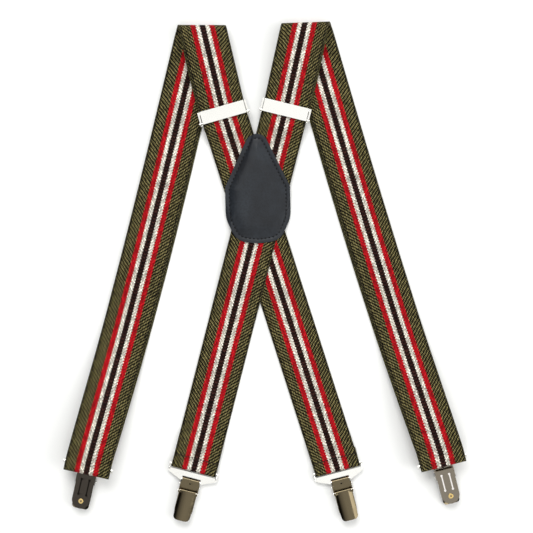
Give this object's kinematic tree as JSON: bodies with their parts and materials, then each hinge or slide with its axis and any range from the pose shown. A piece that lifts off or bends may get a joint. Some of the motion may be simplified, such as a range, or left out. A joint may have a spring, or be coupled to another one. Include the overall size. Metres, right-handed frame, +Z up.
{
  "type": "suspenders",
  "caption": "X-back braces of striped elastic webbing with a leather crossing patch, hinged strap adjusters and lever clips on swinging bails, laid out flat.",
  "frame": {"origin": "centre of the laid-out braces' bounding box, on the surface they lie on", "axes": "+X across, from the strap that turns on the left to the one on the right; +Y along the braces, from the clips to the shoulder turns; +Z up from the surface"},
  "size_m": [0.3079, 0.3824, 0.0153],
  "materials": {
    "webbing": "striped woven elastic",
    "leather": "fine grain, semi-matt",
    "bright_nickel": "polished nickel plate",
    "dark_nickel": "polished dark nickel plate",
    "brass": "polished",
    "jaw_plastic": "moulded ivory plastic"
  },
  "bodies": {
    "root": {"back_strap_left": "webbing", "shoulder_strap_left": "webbing", "shoulder_turn_left": "webbing", "front_strap_left": "webbing", "front_return_left": "webbing", "turn_return_left": "webbing", "shoulder_return_left": "webbing", "back_strap_right": "webbing", "shoulder_strap_right": "webbing", "shoulder_turn_right": "webbing", "front_strap_right": "webbing", "front_return_right": "webbing", "turn_return_right": "webbing", "shoulder_return_right": "webbing", "patch_top": "leather", "patch_lining": "leather", "slider_frame_left": "bright_nickel", "slider_pin_left": "bright_nickel", "slider_frame_right": "bright_nickel", "slider_pin_right": "bright_nickel"},
    "slider_cover_left": {"slider_cover_left": "bright_nickel"},
    "slider_cover_right": {"slider_cover_right": "bright_nickel"},
    "bail_front_left": {"bail_front_left": "bright_nickel"},
    "clip_front_left": {"back_plate_front_left": "dark_nickel", "pins_front_left": "bright_nickel", "back_pad_front_left": "jaw_plastic", "eyelet_front_left": "brass"},
    "lever_front_left": {"lever_front_left": "dark_nickel"},
    "jaw_front_left": {"jaw_front_left": "dark_nickel", "jaw_pad_front_left": "jaw_plastic"},
    "bail_back_left": {"bail_back_left": "bright_nickel"},
    "clip_back_left": {"back_plate_back_left": "dark_nickel", "pins_back_left": "bright_nickel", "back_pad_back_left": "jaw_plastic", "eyelet_back_left": "brass"},
    "lever_back_left": {"lever_back_left": "dark_nickel"},
    "jaw_back_left": {"jaw_back_left": "dark_nickel", "jaw_pad_back_left": "jaw_plastic"},
    "bail_back_right": {"bail_back_right": "bright_nickel"},
    "clip_back_right": {"back_plate_back_right": "dark_nickel", "pins_back_right": "bright_nickel", "back_pad_back_right": "jaw_plastic", "eyelet_back_right": "brass"},
    "lever_back_right": {"lever_back_right": "dark_nickel"},
    "jaw_back_right": {"jaw_back_right": "dark_nickel", "jaw_pad_back_right": "jaw_plastic"},
    "bail_front_right": {"bail_front_right": "bright_nickel"},
    "clip_front_right": {"back_plate_front_right": "dark_nickel", "pins_front_right": "bright_nickel", "back_pad_front_right": "jaw_plastic", "eyelet_front_right": "brass"},
    "lever_front_right": {"lever_front_right": "dark_nickel"},
    "jaw_front_right": {"jaw_front_right": "dark_nickel", "jaw_pad_front_right": "jaw_plastic"}
  },
  "joints": [
    {"name": "bail_swing_front_left", "type": "hinge", "parent": "root", "child": "bail_front_left", "pos_m": [-0.1344, -0.14753, 0.01283], "axis": [0.9759, -0.2181, 0], "range_deg": [0, 60]},
    {"name": "clip_swing_front_left", "type": "hinge", "parent": "bail_front_left", "child": "clip_front_left", "pos_m": [-0.13543, -0.15216, 0.0046], "axis": [-0.9759, 0.2181, 0], "range_deg": [-35, 30]},
    {"name": "lever_lift_front_left", "type": "hinge", "parent": "clip_front_left", "child": "lever_front_left", "pos_m": [-0.13729, -0.16046, 0.00195], "axis": [0.9759, -0.2181, 0], "range_deg": [0, 100]},
    {"name": "jaw_open_front_left", "type": "hinge", "parent": "clip_front_left", "child": "jaw_front_left", "pos_m": [-0.13628, -0.15597, 0.00495], "axis": [0.9759, -0.2181, 0], "range_deg": [0, 8.5]},
    {"name": "bail_swing_back_left", "type": "hinge", "parent": "root", "child": "bail_back_left", "pos_m": [-0.05437, -0.15158, 0.00325], "axis": [-0.9681, 0.2504, 0], "range_deg": [-80, 80]},
    {"name": "clip_swing_back_left", "type": "hinge", "parent": "bail_back_left", "child": "clip_back_left", "pos_m": [-0.05675, -0.16078, 0.00325], "axis": [-0.9681, 0.2504, 0], "range_deg": [-80, 35]},
    {"name": "lever_lift_back_left", "type": "hinge", "parent": "clip_back_left", "child": "lever_back_left", "pos_m": [-0.05888, -0.16901, 0.0059], "axis": [-0.9681, 0.2504, 0], "range_deg": [0, 100]},
    {"name": "jaw_open_back_left", "type": "hinge", "parent": "clip_back_left", "child": "jaw_back_left", "pos_m": [-0.05773, -0.16455, 0.0029], "axis": [-0.9681, 0.2504, 0], "range_deg": [0, 8.5]},
    {"name": "bail_swing_back_right", "type": "hinge", "parent": "root", "child": "bail_back_right", "pos_m": [0.05537, -0.15118, 0.00325], "axis": [-0.9677, -0.2521, 0], "range_deg": [-80, 80]},
    {"name": "clip_swing_back_right", "type": "hinge", "parent": "bail_back_right", "child": "clip_back_right", "pos_m": [0.05776, -0.16037, 0.00325], "axis": [-0.9677, -0.2521, 0], "range_deg": [-80, 35]},
    {"name": "lever_lift_back_right", "type": "hinge", "parent": "clip_back_right", "child": "lever_back_right", "pos_m": [0.05991, -0.1686, 0.0059], "axis": [-0.9677, -0.2521, 0], "range_deg": [0, 100]},
    {"name": "jaw_open_back_right", "type": "hinge", "parent": "clip_back_right", "child": "jaw_back_right", "pos_m": [0.05875, -0.16415, 0.0029], "axis": [-0.9677, -0.2521, 0], "range_deg": [0, 8.5]},
    {"name": "bail_swing_front_right", "type": "hinge", "parent": "root", "child": "bail_front_right", "pos_m": [0.13474, -0.14391, 0.01283], "axis": [0.9686, 0.2487, 0], "range_deg": [0, 60]},
    {"name": "clip_swing_front_right", "type": "hinge", "parent": "bail_front_right", "child": "clip_front_right", "pos_m": [0.13592, -0.14851, 0.0046], "axis": [-0.9686, -0.2487, 0], "range_deg": [-35, 30]},
    {"name": "lever_lift_front_right", "type": "hinge", "parent": "clip_front_right", "child": "lever_front_right", "pos_m": [0.13804, -0.15674, 0.00195], "axis": [0.9686, 0.2487, 0], "range_deg": [0, 100]},
    {"name": "jaw_open_front_right", "type": "hinge", "parent": "clip_front_right", "child": "jaw_front_right", "pos_m": [0.13689, -0.15229, 0.00495], "axis": [0.9686, 0.2487, 0], "range_deg": [0, 8.5]},
    {"name": "cover_lift_left", "type": "hinge", "parent": "root", "child": "slider_cover_left", "pos_m": [-0.03092, 0.1172, 0.0086], "axis": [0.962, 0.2732, 0], "range_deg": [0, 100]},
    {"name": "cover_lift_right", "type": "hinge", "parent": "root", "child": "slider_cover_right", "pos_m": [0.01477, 0.11916, 0.0086], "axis": [0.9717, -0.2363, 0], "range_deg": [0, 100]}
  ],
  "couplings": [
    {"joint": "jaw_open_front_left", "follows": "lever_lift_front_left", "ratio": 0.085},
    {"joint": "jaw_open_back_left", "follows": "lever_lift_back_left", "ratio": 0.085},
    {"joint": "jaw_open_back_right", "follows": "lever_lift_back_right", "ratio": 0.085},
    {"joint": "jaw_open_front_right", "follows": "lever_lift_front_right", "ratio": 0.085}
  ]
}
